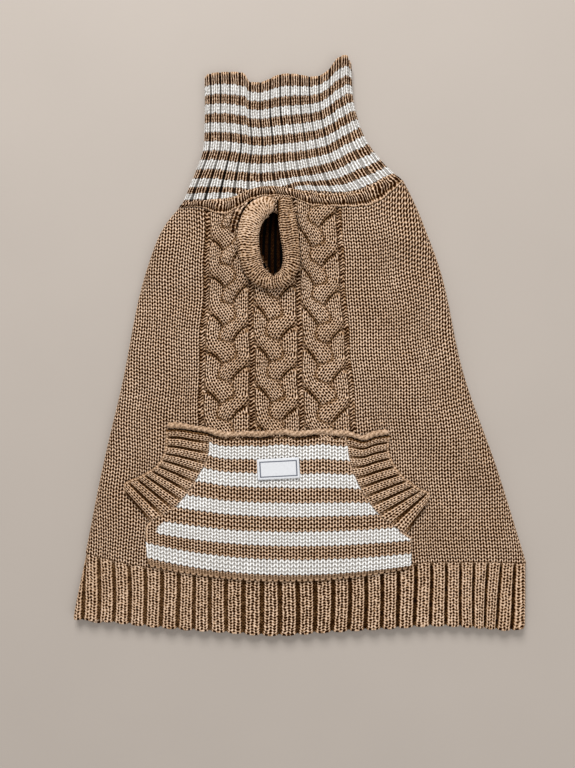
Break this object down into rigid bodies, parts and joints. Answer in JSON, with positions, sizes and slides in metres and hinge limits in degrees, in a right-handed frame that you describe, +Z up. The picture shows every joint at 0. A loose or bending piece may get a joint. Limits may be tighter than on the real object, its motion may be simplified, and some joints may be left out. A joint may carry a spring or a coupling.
{
  "type": "dog sweater",
  "caption": "Knitted dog sweater laid flat, back upwards: cable panel, plain sides, striped turtleneck, rolled leash hole, striped kangaroo pocket and rib hem.",
  "frame": {"origin": "centre of the sweater's outline on the surface that it lies on, under the whole garment", "axes": "+X across the sweater to the right as it is seen from above, +Y from the hem to the collar, +Z up from the surface"},
  "size_m": [0.3724, 0.4804, 0.0183],
  "materials": {
    "tan_knit": "matt marled camel cotton yarn, chunky knit",
    "striped_knit": "matt cotton knit in camel and off-white stripes",
    "woven_label": "plain woven label, pale grey, no text"
  },
  "bodies": {
    "root": {"back_panel": "tan_knit", "belly_panel": "tan_knit", "hem": "tan_knit", "collar_band": "tan_knit", "collar": "striped_knit", "leash_trim": "tan_knit", "leg_cuff_left": "tan_knit", "leg_cuff_right": "tan_knit", "pocket_pouch": "striped_knit", "pocket_band_left": "tan_knit", "pocket_band_right": "tan_knit", "pocket_top_edge": "tan_knit", "label": "woven_label"}
  },
  "joints": []
}
